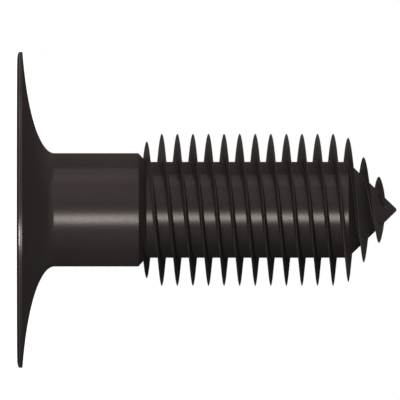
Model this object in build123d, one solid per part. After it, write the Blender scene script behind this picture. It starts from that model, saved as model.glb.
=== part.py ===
from build123d import *

import os
from math import ceil, cos, pi, radians, sin, tan

# Drywall screw, one piece of hardened steel: a flat bugle head with a cross recess, a plain shank,
# and a twin-start right-hand thread on a thinner core that ends in a sharp point.
# Millimetres. The screw stands on its head: the origin is the centre of the head's flat top face,
# and +Z runs along the axis to the point. A height is a distance from the top face.

# Overall
screw_length = 9.6
head_diameter = 8.0

# Head
rim_height = 0.135          # to the lower edge of the rim's plain band
edge_round_width = 0.25     # rounding between top face and rim, along the radius
edge_round_height = 0.05    # the same rounding, along the axis
neck_height = 0.94          # where the bugle curve runs out into the shank
bugle_sweep = 72.0          # degrees of its quarter ellipse that the bugle curve covers

# Shank and core
shank_diameter = 2.87
shank_height = 3.07         # to the shank's lower end
shoulder_length = 0.20      # the short cone from the shank down to the core
core_diameter = 2.43

# Point
point_half_angle = 44.0     # degrees between the axis and the cone's side
tip_diameter = 0.06         # the flat left at the very tip

# Thread
thread_diameter = 3.85
thread_starts = 2
thread_lead = 0.7886        # advance of one ridge in a full turn
thread_begin_angle = 22.0   # degrees from +X about +Z, where the first ridge begins
thread_overlap = 0.15       # how far up inside the shank a ridge begins
run_in_length = 0.48        # along the axis, while the ridge grows to full depth
crest_half_angle = 51.6     # degrees between the axis and the cone that trims the crest
crest_cone_overrun = 0.235  # how far past the tip that cone would close
fade_length = 0.20          # along the axis, while the ridge sinks into the point
thread_tip_gap = 0.215      # from the end of the ridge to the tip
ridge_width = 0.105         # across the ridge where it leaves the core; its crest is sharp
ridge_sink = 0.05           # how deep the ridge's foot is let into the core
points_per_turn = 24        # fineness of the ridge's long edges

# Cross recess, size 1
recess_span = 2.9           # across two opposite wings, at the top face
recess_foot_span = 1.27     # across the same wings, at the foot of their slope
recess_slope = 26.5         # degrees between the axis and a wing's outer edge
recess_wing_width = 0.53    # thickness of a wing at its foot
recess_bevel_width = 1.0    # across the bevelled corners between the wings, at the foot
recess_draft = 3.5          # degrees that the recess's sides open towards the top face
recess_floor_angle = 69.0   # degrees between the axis and the conical floor

# What follows from them
head_radius = head_diameter / 2
shank_radius = shank_diameter / 2
core_radius = core_diameter / 2
tip_radius = tip_diameter / 2
thread_radius = thread_diameter / 2
cone_slope = tan(radians(point_half_angle))
cone_height = screw_length - (core_radius - tip_radius) / cone_slope
thread_begin = shank_height - thread_overlap
thread_end = screw_length - thread_tip_gap


def make_blank():
    """The turned blank, with neither thread nor recess: one outline revolved about the axis."""
    bugle_width = (head_radius - shank_radius) / (1 - cos(radians(bugle_sweep)))
    bugle_height = (neck_height - rim_height) / sin(radians(bugle_sweep))
    face_radius = head_radius - edge_round_width
    with BuildPart() as blank:
        with BuildSketch(Plane.XZ):
            with BuildLine():
                Line((0, 0), (face_radius, 0))
                EllipticalCenterArc(
                    (face_radius, edge_round_height),
                    edge_round_width,
                    edge_round_height,
                    start_angle=270,
                    arc_size=90,
                )
                Line((head_radius, edge_round_height), (head_radius, rim_height))
                EllipticalCenterArc(
                    (shank_radius + bugle_width, neck_height),
                    bugle_width,
                    bugle_height,
                    start_angle=180,
                    arc_size=bugle_sweep,
                )
                Polyline(
                    (shank_radius, neck_height),
                    (shank_radius, shank_height),
                    (core_radius, shank_height + shoulder_length),
                    (core_radius, cone_height),
                    (tip_radius, screw_length),
                    (0, screw_length),
                    (0, 0),
                )
            make_face()
        revolve(axis=Axis.Z)
    return blank.part


def surface_radius(height):
    """Radius of the core, and of the point below it."""
    return min(core_radius, tip_radius + (screw_length - height) * cone_slope)


def foot_radius(height):
    """Radius of the ridge's foot, inside the core."""
    return surface_radius(height) - ridge_sink


def crest_radius(height):
    """Radius of the ridge's crest: it rises from inside the core, runs full, closes in and sinks again."""
    hidden = surface_radius(height) - ridge_sink / 2
    rise = thread_radius - core_radius + ridge_sink / 2
    return min(
        hidden + rise * (height - thread_begin) / run_in_length,
        thread_radius,
        (screw_length + crest_cone_overrun - height) * tan(radians(crest_half_angle)),
        hidden + rise * (thread_end - height) / fade_length,
    )


def half_width(height):
    """Half the width of the ridge's foot. The flanks keep their slope, so a lower ridge is narrower."""
    flank_slope = ridge_width / 2 / (thread_radius - core_radius)
    return flank_slope * (crest_radius(height) - foot_radius(height))


def make_rail(radius_at, offset_at):
    """One long edge of the ridge: a helix of changing radius, as a chain of splines of about a turn each."""
    pieces = ceil((thread_end - thread_begin) / thread_lead)
    piece_length = (thread_end - thread_begin) / pieces
    step = piece_length / points_per_turn

    def place(height):
        turn = radians(thread_begin_angle) + 2 * pi * (height - thread_begin) / thread_lead
        radius = radius_at(height)
        return Vector(radius * cos(turn), radius * sin(turn), height + offset_at(height))

    def heading(height):
        nudge = step / 100
        return (place(height + nudge) - place(height - nudge)) / (2 * nudge)

    rail = []
    for piece in range(pieces):
        start = thread_begin + piece * piece_length
        heights = [start + i * step for i in range(points_per_turn + 1)]
        points = [place(height) for height in heights]
        headings = [heading(heights[0]), heading(heights[-1])]
        rail.append(Edge.make_spline(points, headings, parameters=heights, scale=False))
    return rail


def make_ridge():
    """One start of the thread: a sharp blade wound round the core, fading in at the shank and out at the point."""
    rails = [
        make_rail(foot_radius, lambda height: -half_width(height)),
        make_rail(crest_radius, lambda height: 0),
        make_rail(foot_radius, half_width),
    ]
    faces = []
    for rail, next_rail in zip(rails, rails[1:] + rails[:1]):
        faces += [Face.make_surface_from_curves(a, b) for a, b in zip(rail, next_rail)]
    first = [rail[0] @ 0 for rail in rails]
    last = [rail[-1] @ 1 for rail in rails]
    faces += [Face(Wire.make_polygon(corners)) for corners in (first, last)]
    return Solid(Shell(faces))


def make_recess():
    """The cross recess: a drafted cross with bevelled inner corners, kept within a cone with a shallow floor."""
    wing_depth = (recess_span - recess_foot_span) / 2 / tan(radians(recess_slope))
    depth = wing_depth + recess_foot_span / 2 / tan(radians(recess_floor_angle))
    with BuildPart() as recess:
        for level in (0, depth):
            opening = 2 * (wing_depth - level) * tan(radians(recess_draft))
            wing_width = recess_wing_width + opening
            bevel_width = recess_bevel_width + opening
            with BuildSketch(Plane.XY.offset(level)):
                Rectangle(2 * recess_span, wing_width)
                Rectangle(wing_width, 2 * recess_span)
                Rectangle(bevel_width, bevel_width, rotation=45)
        loft()
        with BuildSketch(Plane.XZ):
            with BuildLine():
                Polyline(
                    (0, 0),
                    (recess_span / 2, 0),
                    (recess_foot_span / 2, wing_depth),
                    (0, depth),
                    close=True,
                )
            make_face()
        revolve(axis=Axis.Z, mode=Mode.INTERSECT)
    return recess.part


screw = make_blank()
ridge = make_ridge()
for start in range(thread_starts):
    screw += Rot(0, 0, 360 * start / thread_starts) * ridge
screw -= make_recess()
screw.label = "screw"

os.makedirs("parts", exist_ok=True)
export_step(screw, "parts/screw.step")
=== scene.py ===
import math

import bpy
from mathutils import Matrix, Vector


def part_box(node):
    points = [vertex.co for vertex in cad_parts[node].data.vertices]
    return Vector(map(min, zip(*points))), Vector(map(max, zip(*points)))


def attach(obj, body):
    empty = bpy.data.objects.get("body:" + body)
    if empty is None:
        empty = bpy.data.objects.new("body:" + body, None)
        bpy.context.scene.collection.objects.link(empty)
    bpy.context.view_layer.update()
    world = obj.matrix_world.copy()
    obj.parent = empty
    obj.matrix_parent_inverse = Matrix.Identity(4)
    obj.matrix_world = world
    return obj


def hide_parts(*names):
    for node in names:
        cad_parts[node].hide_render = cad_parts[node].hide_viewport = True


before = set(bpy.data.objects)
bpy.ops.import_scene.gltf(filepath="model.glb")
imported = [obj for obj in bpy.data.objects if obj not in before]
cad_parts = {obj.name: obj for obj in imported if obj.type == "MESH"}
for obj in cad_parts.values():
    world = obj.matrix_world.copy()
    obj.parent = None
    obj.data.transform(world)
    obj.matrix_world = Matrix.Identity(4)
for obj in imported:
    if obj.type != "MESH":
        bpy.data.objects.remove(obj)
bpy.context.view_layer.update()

low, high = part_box("screw")

# A drywall screw of hardened steel with a black phosphate finish. It stands on its flat head with
# the point up. Sizes are millimetres and become metres at the end; angles are degrees. A height is
# a distance from the head's flat face, along the axis.
MM = 0.001

# Overall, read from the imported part
LENGTH = (high.z - low.z) / MM
HEAD_RADIUS = min(high.x, -low.x, high.y, -low.y) / MM

# Head
RIM_HEIGHT = 0.135
EDGE_ROUND_WIDTH = 0.25
EDGE_ROUND_HEIGHT = 0.05
RUBBED_AND_HIGHLIGHT_STRIP_HEIGHT = 0.025        # the rim's strip next to the rounding: rubbed smoother, and painted paler so its highlight comes out brighter, a painted highlight as well as wear
NECK_HEIGHT = 0.94
BUGLE_SWEEP = 72.0

# Shank, core and point
SHANK_RADIUS = 1.435
SHANK_HEIGHT = 3.07
SHOULDER_LENGTH = 0.20
CORE_RADIUS = 1.215
POINT_HALF_ANGLE = 44.0
TIP_RADIUS = 0.03

# Thread
THREAD_RADIUS = 1.925
THREAD_STARTS = 2
THREAD_LEAD = 0.7886
THREAD_BEGIN_ANGLE = 22.0
THREAD_BEGIN = SHANK_HEIGHT - 0.15
THREAD_END = LENGTH - 0.215
RUN_IN_LENGTH = 0.48
FADE_LENGTH = 0.20
CREST_HALF_ANGLE = 51.6
CREST_CONE_OVERRUN = 0.235
RIDGE_WIDTH = 0.108             # across the ridge where it leaves the core
ROOT_FILLET = 0.022             # at the foot of the flanks
FILLET_SHARE = 0.4              # the most of a low ridge's height that the fillet takes
LEAST_RIDGE = 0.02              # height that the ridge's foot is worked out for where the ridge is lower
FLANK_SINK = 0.004              # how far the foot of a flank lies inside the core
SHEET_SINK = 0.05               # how far the underside of a ridge lies inside the core
END_SINK = 0.03                 # the same for the two ends of a ridge
RIDGE_START_DEPTH = 0.025       # how deep inside the core a ridge's crest begins and ends

# Cross recess
RECESS_SPAN = 2.9
RECESS_FOOT_SPAN = 1.27
RECESS_SLOPE = 26.5
RECESS_WING_WIDTH = 0.53
RECESS_BEVEL_WIDTH = 1.0
RECESS_DRAFT = 3.5
RECESS_FLOOR_ANGLE = 69.0

# Fineness of the meshes
SEGMENTS = 288                  # round the axis
EDGE_ROUND_STEPS = 8
BUGLE_STEPS = 32
STEPS_PER_TURN = 160            # along a ridge
SIDE_COLUMNS = 8                # across each flank of a ridge
COLUMN_CROWDING = 2.5           # above 1, the columns crowd towards the foot, where the fillet is
SUPPORT_HEIGHT = 0.002          # a ring this near the rounding keeps the rim's shading straight
CUT_OVERRUN = 0.1               # how far a cutting body stands out of what it cuts
WELD = 1e-4                     # points nearer than this become one
SHEET_WELD = 1e-5
END_ROW_MARGIN = 1e-6           # rows this near the ends of a ridge's sheet, one long, are its end rows
CREASE_ANGLE = 38.0

# Wear and painted light: how far a surface takes the paler rubbed colour, from 0 to 1. On the crests it is
# wear where the coat is rubbed off; on the flanks it is painted light; on the rim's strip it is wear and a
# painted highlight
HEAD_SIDE_PAINTED_LIGHT = 0.65           # painted light: the flanks that face the head are painted paler, as if lit from the head end and out of the groove's shade
# Painted shade: the flanks that face the tip keep nearly the coat's dark colour
TIP_SIDE_PAINTED_LIGHT = 0.1
CREST_WEAR = 1.0
CREST_WEAR_DEPTH = 0.1          # how far down from the crest it reaches, as a share of the ridge's height
# Rim's strip: partly wear, partly painted highlight, as its paler colour brightens the highlight there
RIM_WEAR_AND_HIGHLIGHT = 0.22

# Black phosphate. Its crystals are about 0.01 across, too fine to show, so the grain is drawn coarser.
GRAIN_SIZE = 0.06
MOTTLE_SIZE = 0.9               # cloudiness of the oiled coat
GRAIN_DEPTH = 0.01
GRAIN_STRENGTH = 0.05
ROUGHNESS = (0.25, 0.31)        # from one grain to the next
RUBBED_ROUGHNESS = 0.7          # as a share of the coat's own, once it is rubbed as far as the rim is
METAL = 0.88                    # where the surface faces the eye
RIDGE_METAL = 0.25
SHEEN_REACH = 0.36              # how far a surface turns away, as Facing tells it, before its sheen is gone
RUBBED_GLANCE = 0.035           # what a fully rubbed surface keeps of it


def linear(hex_colour):
    """An sRGB hex colour as linear red, green, blue and alpha."""
    channels = [int(hex_colour[i:i + 2], 16) / 255 for i in (1, 3, 5)]
    return [c / 12.92 if c <= 0.04045 else ((c + 0.055) / 1.055) ** 2.4 for c in channels] + [1.0]


def add(tree, kind, inputs=(), **settings):
    """Adds a node. Each input is a value, or the socket or the node whose first output feeds it."""
    made = tree.nodes.new(kind)
    for name, value in settings.items():
        setattr(made, name, value)
    for key, value in inputs.items() if isinstance(inputs, dict) else enumerate(inputs):
        if isinstance(value, bpy.types.Node):
            value = value.outputs[0]
        if isinstance(value, bpy.types.NodeSocket):
            tree.links.new(value, made.inputs[key])
        elif value is not None:
            made.inputs[key].default_value = value
    return made


def tangent(degrees):
    return math.tan(math.radians(degrees))


# ---- Camera ----

VIEW_WIDTH = 10.127 * MM        # what the frame spans at the screw's axis
VIEW_HEIGHT_UP = 4.628 * MM     # height of the point at the frame's middle
VIEW_SIDE = -0.249 * MM         # how far that point lies beside the axis
CAMERA_DISTANCE = 0.48
CAMERA_HEIGHT = 1.4 * MM
SENSOR_WIDTH = 36.0

target = Vector((VIEW_SIDE, 0, VIEW_HEIGHT_UP))
stand = Vector((VIEW_SIDE, -CAMERA_DISTANCE, CAMERA_HEIGHT))
backward = (stand - target).normalized()
sideways = Vector((-1, 0, 0))
camera_data = bpy.data.cameras.new("camera")
camera_data.sensor_width = SENSOR_WIDTH
camera_data.lens = SENSOR_WIDTH * CAMERA_DISTANCE / VIEW_WIDTH
camera_data.clip_start = 0.01
camera_data.clip_end = 10.0
camera = bpy.data.objects.new("camera", camera_data)
camera_axes = Matrix((sideways.cross(backward), sideways, backward)).transposed()
camera.rotation_mode = "QUATERNION"
camera.matrix_world = Matrix.Translation(stand) @ camera_axes.to_4x4()
bpy.context.scene.collection.objects.link(camera)
bpy.context.scene.camera = camera


# ---- Materials ----

def black_phosphate():
    """Black phosphate on carbon steel: a dark crystalline coat, oiled, so a warm black with a soft sheen.

    Along the crests, where it is rubbed, the steel greys it. The same paler colour is painted on the flanks,
    most on those that face the head, as painted light, and on the rim's strip, as wear and a painted
    highlight. The ridges have less metal than the rest, so that flanks seen edge on don't shine like glass.
    """
    material = bpy.data.materials.new("black_phosphate_steel")
    material.use_nodes = True
    tree = material.node_tree
    tree.nodes.clear()
    place = add(tree, "ShaderNodeTexCoord").outputs["Object"]
    grain = add(tree, "ShaderNodeTexNoise", {"Vector": place, "Detail": 3.0, "Scale": 1 / (GRAIN_SIZE * MM)})
    mottle = add(tree, "ShaderNodeTexNoise", {"Vector": place, "Detail": 2.0,
                                              "Scale": 1 / (MOTTLE_SIZE * MM)})
    colour = add(tree, "ShaderNodeMix", {0: mottle.outputs[0], 6: linear("#342e2d"), 7: linear("#383230")},
                 data_type="RGBA")
    painted_light_and_wear = add(tree, "ShaderNodeAttribute", attribute_name="wear_and_painted_light").outputs["Fac"]
    crest = add(tree, "ShaderNodeAttribute", attribute_name="crest").outputs["Fac"]
    crest = add(tree, "ShaderNodeMapRange", {"Value": crest, "From Min": 1 - CREST_WEAR_DEPTH,
                                             "To Max": CREST_WEAR})
    painted_light_and_wear = add(tree, "ShaderNodeMath", [painted_light_and_wear, crest], operation="MAXIMUM").outputs[0]
    # Paler rubbed colour: wear on the crests, painted light on the flanks, and a painted highlight with wear
    # on the rim's strip
    colour = add(tree, "ShaderNodeMix", {0: painted_light_and_wear, 6: colour.outputs[2], 7: linear("#746a64")},
                 data_type="RGBA")
    rough = add(tree, "ShaderNodeMapRange", {"Value": grain.outputs[0], "To Min": ROUGHNESS[0],
                                             "To Max": ROUGHNESS[1]})
    rubbed = add(tree, "ShaderNodeMapRange", {"Value": painted_light_and_wear, "From Max": RIM_WEAR_AND_HIGHLIGHT, "To Min": 1.0,
                                              "To Max": RUBBED_ROUGHNESS})
    rough = add(tree, "ShaderNodeMath", [rough, rubbed], operation="MULTIPLY")
    bump = add(tree, "ShaderNodeBump", {"Height": grain.outputs[0], "Strength": GRAIN_STRENGTH,
                                        "Distance": GRAIN_DEPTH * MM})
    facing = add(tree, "ShaderNodeLayerWeight", {"Blend": 0.5}).outputs["Facing"]
    glance = add(tree, "ShaderNodeMath", [painted_light_and_wear, RUBBED_GLANCE], operation="MULTIPLY")
    ridge = add(tree, "ShaderNodeAttribute", attribute_name="ridge").outputs["Fac"]
    face_on = add(tree, "ShaderNodeMapRange", {"Value": ridge, "To Min": METAL, "To Max": RIDGE_METAL})
    sheen = add(tree, "ShaderNodeMapRange", {"Value": facing, "From Min": 0.0, "From Max": SHEEN_REACH,
                                             "To Min": face_on, "To Max": glance},
                interpolation_type="SMOOTHSTEP")
    shader = add(tree, "ShaderNodeBsdfPrincipled", {
        "Base Color": colour.outputs[2],
        "Metallic": sheen.outputs[0],
        "Roughness": rough.outputs[0],
        "Specular IOR Level": 0.0,
        "Normal": bump.outputs[0],
    })
    add(tree, "ShaderNodeOutputMaterial", {"Surface": shader})
    return material


# ---- Screw ----

def stack(name, rings):
    """A closed mesh object from rings of equally many points, with the first and last ring capped."""
    count = len(rings[0])
    last = (len(rings) - 1) * count
    faces = [tuple(reversed(range(count))), tuple(range(last, last + count))]
    for base in range(0, last, count):
        for i in range(count):
            j = (i + 1) % count
            faces.append((base + i, base + j, base + count + j, base + count + i))
    mesh = bpy.data.meshes.new(name)
    mesh.from_pydata([point for ring in rings for point in ring], [], faces)
    made = bpy.data.objects.new(name, mesh)
    bpy.context.scene.collection.objects.link(made)
    return made


def circle(radius, height):
    """A ring of points round the axis."""
    turns = [2 * math.pi * i / SEGMENTS for i in range(SEGMENTS)]
    return [(radius * math.cos(turn), radius * math.sin(turn), height) for turn in turns]


def make_blank():
    """The turned blank: flat head with a rounded edge, rim, bugle curve, shank, shoulder, core and point."""
    sweep = math.radians(BUGLE_SWEEP)
    bugle_width = (HEAD_RADIUS - SHANK_RADIUS) / (1 - math.cos(sweep))
    bugle_height = (NECK_HEIGHT - RIM_HEIGHT) / math.sin(sweep)
    outline = []
    for i in range(EDGE_ROUND_STEPS + 1):
        turn = math.pi / 2 * i / EDGE_ROUND_STEPS
        radius = HEAD_RADIUS - EDGE_ROUND_WIDTH * (1 - math.sin(turn))
        outline.append((radius, EDGE_ROUND_HEIGHT * (1 - math.cos(turn))))
    for height in (SUPPORT_HEIGHT, RUBBED_AND_HIGHLIGHT_STRIP_HEIGHT):
        outline.append((HEAD_RADIUS, EDGE_ROUND_HEIGHT + height))
    for i in range(BUGLE_STEPS + 1):
        turn = sweep * (1 - i / BUGLE_STEPS)
        radius = SHANK_RADIUS + bugle_width * (1 - math.cos(turn))
        outline.append((radius, NECK_HEIGHT - bugle_height * math.sin(turn)))
    outline += [
        (SHANK_RADIUS, SHANK_HEIGHT),
        (CORE_RADIUS, SHANK_HEIGHT + SHOULDER_LENGTH),
        (CORE_RADIUS, LENGTH - (CORE_RADIUS - TIP_RADIUS) / tangent(POINT_HALF_ANGLE)),
        (TIP_RADIUS, LENGTH),
    ]
    blank = stack("screw_black_phosphate", [circle(radius, height) for radius, height in outline])
    # The rim's strip takes the paler colour: wear, and a painted highlight
    wear_and_painted_light = blank.data.attributes.new("wear_and_painted_light", "FLOAT", "FACE")
    for face, value in zip(blank.data.polygons, wear_and_painted_light.data):
        if EDGE_ROUND_HEIGHT < face.center.z < EDGE_ROUND_HEIGHT + RUBBED_AND_HIGHLIGHT_STRIP_HEIGHT:
            value.value = RIM_WEAR_AND_HIGHLIGHT
    return blank


def make_recess():
    """The cross recess as a solid: a drafted cross with bevelled inner corners, kept within a cone."""
    wing_depth = (RECESS_SPAN - RECESS_FOOT_SPAN) / 2 / tangent(RECESS_SLOPE)
    depth = wing_depth + RECESS_FOOT_SPAN / 2 / tangent(RECESS_FLOOR_ANGLE)
    rings = []
    for level in (-CUT_OVERRUN, depth + CUT_OVERRUN):
        opening = (wing_depth - level) * tangent(RECESS_DRAFT)
        wing = RECESS_WING_WIDTH / 2 + opening
        corner = (RECESS_BEVEL_WIDTH / 2 + opening) * math.sqrt(2) - wing
        quarter = [(RECESS_SPAN, -wing), (RECESS_SPAN, wing), (corner, wing), (wing, corner)]
        ring = []
        for cos, sin in ((1, 0), (0, 1), (-1, 0), (0, -1)):
            ring += [(x * cos - y * sin, x * sin + y * cos, level) for x, y in quarter]
        rings.append(ring)
    recess = stack("recess", rings)
    cone = stack("recess_cone", [
        circle(RECESS_SPAN / 2 + CUT_OVERRUN * tangent(RECESS_SLOPE), -CUT_OVERRUN),
        circle(RECESS_FOOT_SPAN / 2, wing_depth),
        circle(TIP_RADIUS, depth),
    ])
    combine(recess, cone, "INTERSECT")
    return recess


def combine(body, tool, operation):
    """Cuts or intersects body with tool, and removes the tool."""
    change = body.modifiers.new(operation, "BOOLEAN")
    change.operation = operation
    change.solver = "MANIFOLD"
    change.object = tool
    settle(body)
    bpy.data.objects.remove(tool)


def settle(body):
    """Makes a plain mesh of what the modifiers give, and removes them."""
    graph = bpy.context.evaluated_depsgraph_get()
    mesh = bpy.data.meshes.new_from_object(body.evaluated_get(graph))
    body.modifiers.clear()
    body.data = mesh


def thread_tree():
    """Geometry Nodes: winds the thread's sharp ridges round the blank, joins them to it and finishes it."""
    tree = bpy.data.node_groups.new("thread", "GeometryNodeTree")
    tree.interface.new_socket("Geometry", in_out="OUTPUT", socket_type="NodeSocketGeometry")
    tree.interface.new_socket("Geometry", in_out="INPUT", socket_type="NodeSocketGeometry")
    # Head Side and Tip Side values paint the flanks paler or darker, as painted light from the head end
    for name in ("Length", "Core Radius", "Tip Radius", "Point Slope", "Thread Radius", "Lead", "Begin",
                 "End", "Begin Angle", "Start Depth", "Run In", "Fade", "Crest Slope", "Crest Overrun",
                 "Ridge Width", "Root Fillet", "Head Side Painted Light", "Tip Side Painted Light"):
        tree.interface.new_socket(name, in_out="INPUT", socket_type="NodeSocketFloat")
    for name in ("Starts", "Side Columns", "Rows"):
        tree.interface.new_socket(name, in_out="INPUT", socket_type="NodeSocketInt")
    tree.interface.new_socket("Material", in_out="INPUT", socket_type="NodeSocketMaterial")
    size = add(tree, "NodeGroupInput").outputs
    math_node = "ShaderNodeMath"

    # A sheet whose rows run across the ridge and whose last column lies on its first
    loop = add(tree, math_node, [size["Side Columns"], 2.0, 3.0], operation="MULTIPLY_ADD")
    columns = add(tree, math_node, [loop, 1.0], operation="ADD")
    sheet = add(tree, "GeometryNodeMeshGrid", [1.0, 1.0, columns, size["Rows"]])
    spot = add(tree, "ShaderNodeSeparateXYZ", [add(tree, "GeometryNodeInputPosition")]).outputs
    share_across = add(tree, math_node, [spot["X"], 0.5], operation="ADD")
    share_along = add(tree, math_node, [spot["Y"], 0.5], operation="ADD")
    column = add(tree, math_node, [add(tree, math_node, [share_across, loop], operation="MULTIPLY")],
                 operation="ROUND")
    column = add(tree, math_node, [column, loop], operation="MODULO")
    middle = add(tree, math_node, [size["Side Columns"], 1.0], operation="ADD")
    offset = add(tree, math_node, [column, middle], operation="SUBTRACT")
    side = add(tree, math_node, [offset], operation="SIGN")
    distance = add(tree, math_node, [offset], operation="ABSOLUTE")
    down = add(tree, math_node, [distance, size["Side Columns"]], operation="DIVIDE")
    below = add(tree, math_node, [down, 1.0], operation="GREATER_THAN")
    down = add(tree, math_node, [down, 1.0], operation="MINIMUM")
    from_middle = add(tree, math_node, [spot["Y"]], operation="ABSOLUTE")
    inner_row = add(tree, math_node, [from_middle, 0.5 - END_ROW_MARGIN], operation="LESS_THAN")

    # Height along the axis, and the crest's radius there
    height = add(tree, "ShaderNodeMix", {0: share_along, 2: size["Begin"], 3: size["End"]})
    to_tip = add(tree, math_node, [size["Length"], height], operation="SUBTRACT")
    surface = add(tree, math_node, [to_tip, size["Point Slope"], size["Tip Radius"]],
                  operation="MULTIPLY_ADD")
    surface = add(tree, math_node, [surface, size["Core Radius"]], operation="MINIMUM")
    full = add(tree, math_node, [size["Thread Radius"], size["Core Radius"]], operation="SUBTRACT")
    rise = add(tree, math_node, [full, size["Start Depth"]], operation="ADD")
    from_begin = add(tree, math_node, [height, size["Begin"]], operation="SUBTRACT")
    from_begin = add(tree, math_node, [from_begin, size["Run In"]], operation="DIVIDE")
    to_end = add(tree, math_node, [size["End"], height], operation="SUBTRACT")
    to_end = add(tree, math_node, [to_end, size["Fade"]], operation="DIVIDE")
    nearer = add(tree, math_node, [from_begin, to_end], operation="MINIMUM")
    hidden = add(tree, math_node, [surface, size["Start Depth"]], operation="SUBTRACT")
    crest = add(tree, math_node, [nearer, rise, hidden], operation="MULTIPLY_ADD")
    crest = add(tree, math_node, [crest, size["Thread Radius"]], operation="MINIMUM")
    to_close = add(tree, math_node, [to_tip, size["Crest Overrun"]], operation="ADD")
    to_close = add(tree, math_node, [to_close, size["Crest Slope"]], operation="MULTIPLY")
    crest = add(tree, math_node, [crest, to_close], operation="MINIMUM")
    tall = add(tree, math_node, [crest, surface], operation="SUBTRACT")

    # Across the ridge: straight flanks from the crest down, then a small fillet into the core
    share_up = add(tree, math_node, [1.0, down], operation="SUBTRACT")
    share_up = add(tree, math_node, [share_up, COLUMN_CROWDING], operation="POWER")
    up = add(tree, math_node, [tall, share_up], operation="MULTIPLY")
    positive = add(tree, math_node, [tall, LEAST_RIDGE], operation="MAXIMUM")
    root = add(tree, math_node, [positive, full], operation="DIVIDE")
    root = add(tree, math_node, [root, size["Ridge Width"]], operation="MULTIPLY")
    root = add(tree, math_node, [root, 0.5], operation="MULTIPLY")
    fillet = add(tree, math_node, [positive, FILLET_SHARE], operation="MULTIPLY")
    fillet = add(tree, math_node, [fillet, size["Root Fillet"]], operation="MINIMUM")
    dip = add(tree, math_node, [up, fillet], operation="DIVIDE", use_clamp=True)
    dip = add(tree, math_node, [1.0, dip], operation="SUBTRACT")
    dip = add(tree, math_node, [dip, dip], operation="MULTIPLY")
    dip = add(tree, math_node, [1.0, dip], operation="SUBTRACT")
    dip = add(tree, math_node, [dip], operation="SQRT")
    dip = add(tree, math_node, [1.0, dip], operation="SUBTRACT")
    flare = add(tree, math_node, [dip, fillet], operation="MULTIPLY")
    flank = add(tree, math_node, [1.0, share_up], operation="SUBTRACT")
    width = add(tree, math_node, [flank, root, flare], operation="MULTIPLY_ADD")
    width = add(tree, math_node, [width, side], operation="MULTIPLY")
    width = add(tree, math_node, [width, inner_row], operation="MULTIPLY")

    # Where the point of the sheet goes
    place = add(tree, math_node, [height, width], operation="ADD")
    ground = add(tree, math_node, [size["Length"], place], operation="SUBTRACT")
    ground = add(tree, math_node, [ground, size["Point Slope"], size["Tip Radius"]], operation="MULTIPLY_ADD")
    ground = add(tree, math_node, [ground, size["Core Radius"]], operation="MINIMUM")
    sunk = add(tree, math_node, [down, FLANK_SINK], operation="MULTIPLY")
    sunk = add(tree, math_node, [below, SHEET_SINK, sunk], operation="MULTIPLY_ADD")
    lift = add(tree, math_node, [up, sunk], operation="SUBTRACT")
    lift = add(tree, "ShaderNodeMix", {0: inner_row, 2: -END_SINK, 3: lift})
    radius = add(tree, math_node, [ground, lift], operation="ADD")
    turns = add(tree, math_node, [height, size["Begin"]], operation="SUBTRACT")
    turns = add(tree, math_node, [turns, size["Lead"]], operation="DIVIDE")
    turn = add(tree, math_node, [turns, 2 * math.pi, size["Begin Angle"]], operation="MULTIPLY_ADD")
    x = add(tree, math_node, [radius, add(tree, math_node, [turn], operation="COSINE")], operation="MULTIPLY")
    y = add(tree, math_node, [radius, add(tree, math_node, [turn], operation="SINE")], operation="MULTIPLY")
    point = add(tree, "ShaderNodeCombineXYZ", [x, y, place])

    # Marks that the finish reads: how pale a flank is painted, as painted light from the head end, what is a
    # ridge, and how near its crest is
    tip_side = add(tree, math_node, [side, 0.0], operation="MAXIMUM")
    painted_light_and_wear = add(tree, "ShaderNodeMix", {0: tip_side, 2: size["Head Side Painted Light"], 3: size["Tip Side Painted Light"]})
    ridge = add(tree, "GeometryNodeStoreNamedAttribute", {"Geometry": sheet, "Name": "wear_and_painted_light", "Value": painted_light_and_wear},
                data_type="FLOAT", domain="FACE")
    ridge = add(tree, "GeometryNodeStoreNamedAttribute", {"Geometry": ridge, "Name": "ridge", "Value": 1.0},
                data_type="FLOAT", domain="FACE")
    ridge = add(tree, "GeometryNodeStoreNamedAttribute",
                {"Geometry": ridge, "Name": "crest", "Value": share_up}, data_type="FLOAT", domain="POINT")
    ridge = add(tree, "GeometryNodeSetPosition", {"Geometry": ridge, "Position": point})
    ridge = add(tree, "GeometryNodeMergeByDistance", {"Geometry": ridge, "Distance": SHEET_WELD})
    ridge = add(tree, "GeometryNodeFlipFaces", {0: ridge})

    # One ridge for each start, joined to the blank
    seats = add(tree, "GeometryNodeMeshLine", {"Count": size["Starts"], "Offset": (0, 0, 0)})
    share = add(tree, math_node, [add(tree, "GeometryNodeInputIndex"), size["Starts"]], operation="DIVIDE")
    around = add(tree, math_node, [share, 2 * math.pi], operation="MULTIPLY")
    ridges = add(tree, "GeometryNodeInstanceOnPoints", {
        "Points": seats,
        "Instance": ridge,
        "Rotation": add(tree, "ShaderNodeCombineXYZ", [0.0, 0.0, around]),
    })
    ridges = add(tree, "GeometryNodeRealizeInstances", [ridges])
    whole = add(tree, "GeometryNodeMeshBoolean", {"Mesh 2": size["Geometry"]}, operation="UNION",
                solver="MANIFOLD")
    tree.links.new(ridges.outputs[0], whole.inputs["Mesh 2"])
    whole = add(tree, "GeometryNodeMergeByDistance", {"Geometry": whole, "Distance": WELD})

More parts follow.
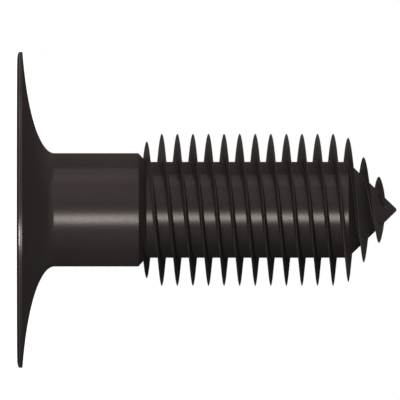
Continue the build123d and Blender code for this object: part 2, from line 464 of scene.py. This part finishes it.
    # Smooth shading, but sharp at every real edge and at the foot of the ridges, where an edge lies
    # between a face marked 1 and a face marked 0 and so reads 0.5
    angle = add(tree, "GeometryNodeInputMeshEdgeAngle")
    crease = add(tree, math_node, [angle, math.radians(CREASE_ANGLE)], operation="GREATER_THAN")
    ridge_side = add(tree, "GeometryNodeInputNamedAttribute", {"Name": "ridge"}, data_type="FLOAT")
    foot = add(tree, math_node, [ridge_side, 0.5, 0.4], operation="COMPARE")
    crease = add(tree, math_node, [crease, foot], operation="MAXIMUM")
    smooth = add(tree, "GeometryNodeSetShadeSmooth", {"Geometry": whole, "Shade Smooth": True}, domain="FACE")
    smooth = add(tree, "GeometryNodeSetShadeSmooth",
                 {"Geometry": smooth, "Selection": crease, "Shade Smooth": False}, domain="EDGE")
    scaled = add(tree, "GeometryNodeTransform", {"Geometry": smooth, "Scale": (MM, MM, MM)})
    real = add(tree, "GeometryNodeRealizeInstances", [scaled])
    finish = add(tree, "GeometryNodeSetMaterial", {"Geometry": real, "Material": size["Material"]})
    add(tree, "NodeGroupOutput", [finish])
    return tree


screw = make_blank()
combine(screw, make_recess(), "DIFFERENCE")
winding = screw.modifiers.new("thread", "NODES")
winding.node_group = thread_tree()
sizes = {
    "Length": LENGTH,
    "Core Radius": CORE_RADIUS,
    "Tip Radius": TIP_RADIUS,
    "Point Slope": tangent(POINT_HALF_ANGLE),
    "Thread Radius": THREAD_RADIUS,
    "Lead": THREAD_LEAD,
    "Begin": THREAD_BEGIN,
    "End": THREAD_END,
    "Begin Angle": math.radians(THREAD_BEGIN_ANGLE),
    "Start Depth": RIDGE_START_DEPTH,
    "Run In": RUN_IN_LENGTH,
    "Fade": FADE_LENGTH,
    "Crest Slope": tangent(CREST_HALF_ANGLE),
    "Crest Overrun": CREST_CONE_OVERRUN,
    "Ridge Width": RIDGE_WIDTH,
    "Root Fillet": ROOT_FILLET,
    # painted light on the flanks: paler on the head side, nearly dark on the tip side
    "Head Side Painted Light": HEAD_SIDE_PAINTED_LIGHT,
    "Tip Side Painted Light": TIP_SIDE_PAINTED_LIGHT,
    "Starts": THREAD_STARTS,
    "Side Columns": SIDE_COLUMNS,
    "Rows": math.ceil((THREAD_END - THREAD_BEGIN) / THREAD_LEAD * STEPS_PER_TURN) + 1,
    "Material": black_phosphate(),
}
for socket in winding.node_group.interface.items_tree:
    if socket.in_out == "INPUT" and socket.name in sizes:
        winding[socket.identifier] = sizes[socket.name]
settle(screw)
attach(screw, "root")
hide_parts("screw")


# ---- Floor and light ----

ROOM_LIGHT = 0.5                # strength of the white surroundings as a light; they show at full strength
FLOOR_GLOW = 0.6                # lifts the lit board to pure white where it is looked at


def looked_at(tree):
    """1 for what the eye sees, straight or in a mirror or through glass, and 0 for what only gives light."""
    ray = add(tree, "ShaderNodeLightPath").outputs
    seen = add(tree, "ShaderNodeMath", [ray["Is Camera Ray"], ray["Is Glossy Ray"]], operation="MAXIMUM")
    return add(tree, "ShaderNodeMath", [seen, ray["Is Transmission Ray"]], operation="MAXIMUM")


def white_floor():
    """White matt board: it shows pure white, and keeps the screw's soft shadow."""
    material = bpy.data.materials.new("white_board")
    material.use_nodes = True
    tree = material.node_tree
    tree.nodes.clear()
    glow = add(tree, "ShaderNodeMath", [looked_at(tree), FLOOR_GLOW], operation="MULTIPLY")
    shader = add(tree, "ShaderNodeBsdfPrincipled", {
        "Base Color": linear("#e6e6e6"),
        "Roughness": 0.9,
        "Emission Color": linear("#ffffff"),
        "Emission Strength": glow.outputs[0],
    })
    add(tree, "ShaderNodeOutputMaterial", {"Surface": shader})
    return material


FLOOR_RADIUS = 300.0
# Hidden under the head, just inside its rounding, so that the head's face can be seen from below
FLOOR_OPENING = HEAD_RADIUS - 0.8 * EDGE_ROUND_WIDTH

rings = circle(FLOOR_OPENING, low.z / MM) + circle(FLOOR_RADIUS, low.z / MM)
mesh = bpy.data.meshes.new("floor")
mesh.from_pydata([[MM * value for value in point] for point in rings], [], [
    (i, SEGMENTS + i, SEGMENTS + (i + 1) % SEGMENTS, (i + 1) % SEGMENTS) for i in range(SEGMENTS)])
mesh.materials.append(white_floor())
floor = bpy.data.objects.new("floor", mesh)
bpy.context.scene.collection.objects.link(floor)

world = bpy.data.worlds.new("studio")
bpy.context.scene.world = world
world.use_nodes = True
tree = world.node_tree
tree.nodes.clear()
strength = add(tree, "ShaderNodeMapRange", {"Value": looked_at(tree), "To Min": ROOM_LIGHT, "To Max": 1.0})
background = add(tree, "ShaderNodeBackground", {"Color": linear("#ffffff"), "Strength": strength.outputs[0]})
add(tree, "ShaderNodeOutputWorld", {"Surface": background})


LIGHT_DISTANCE = 0.5


def add_light(name, azimuth, elevation, width, height, brightness, colour="#ffffff"):
    """An oval soft light aimed at the screw, in metres. Azimuth 0 is at the camera's side, and 90 at +X."""
    turn, lift = math.radians(azimuth), math.radians(elevation)
    direction = Vector((math.sin(turn) * math.cos(lift), -math.cos(turn) * math.cos(lift), math.sin(lift)))
    data = bpy.data.lights.new(name, "AREA")
    data.shape = "ELLIPSE"
    data.color = linear(colour)[:3]
    data.size = width
    data.size_y = height
    data.energy = brightness * math.pi * math.pi * width * height / 4
    light = bpy.data.objects.new(name, data)
    middle = Vector((0, 0, (low.z + high.z) / 2))
    light.location = middle + LIGHT_DISTANCE * direction
    light.rotation_euler = direction.to_track_quat("Z", "Y").to_euler()
    light.visible_camera = False
    bpy.context.scene.collection.objects.link(light)


add_light("key", 18.5, 2, 0.15, 0.036, 51.0, "#f3ffff")
add_light("panel", -60, 12, 0.84, 0.84, 0.4)
add_light("soft", -80, 3.5, 0.4, 0.07, 2.7)
add_light("side", -119, 3.5, 0.6, 0.07, 20.0)

bpy.context.scene.view_settings.view_transform = "Standard"
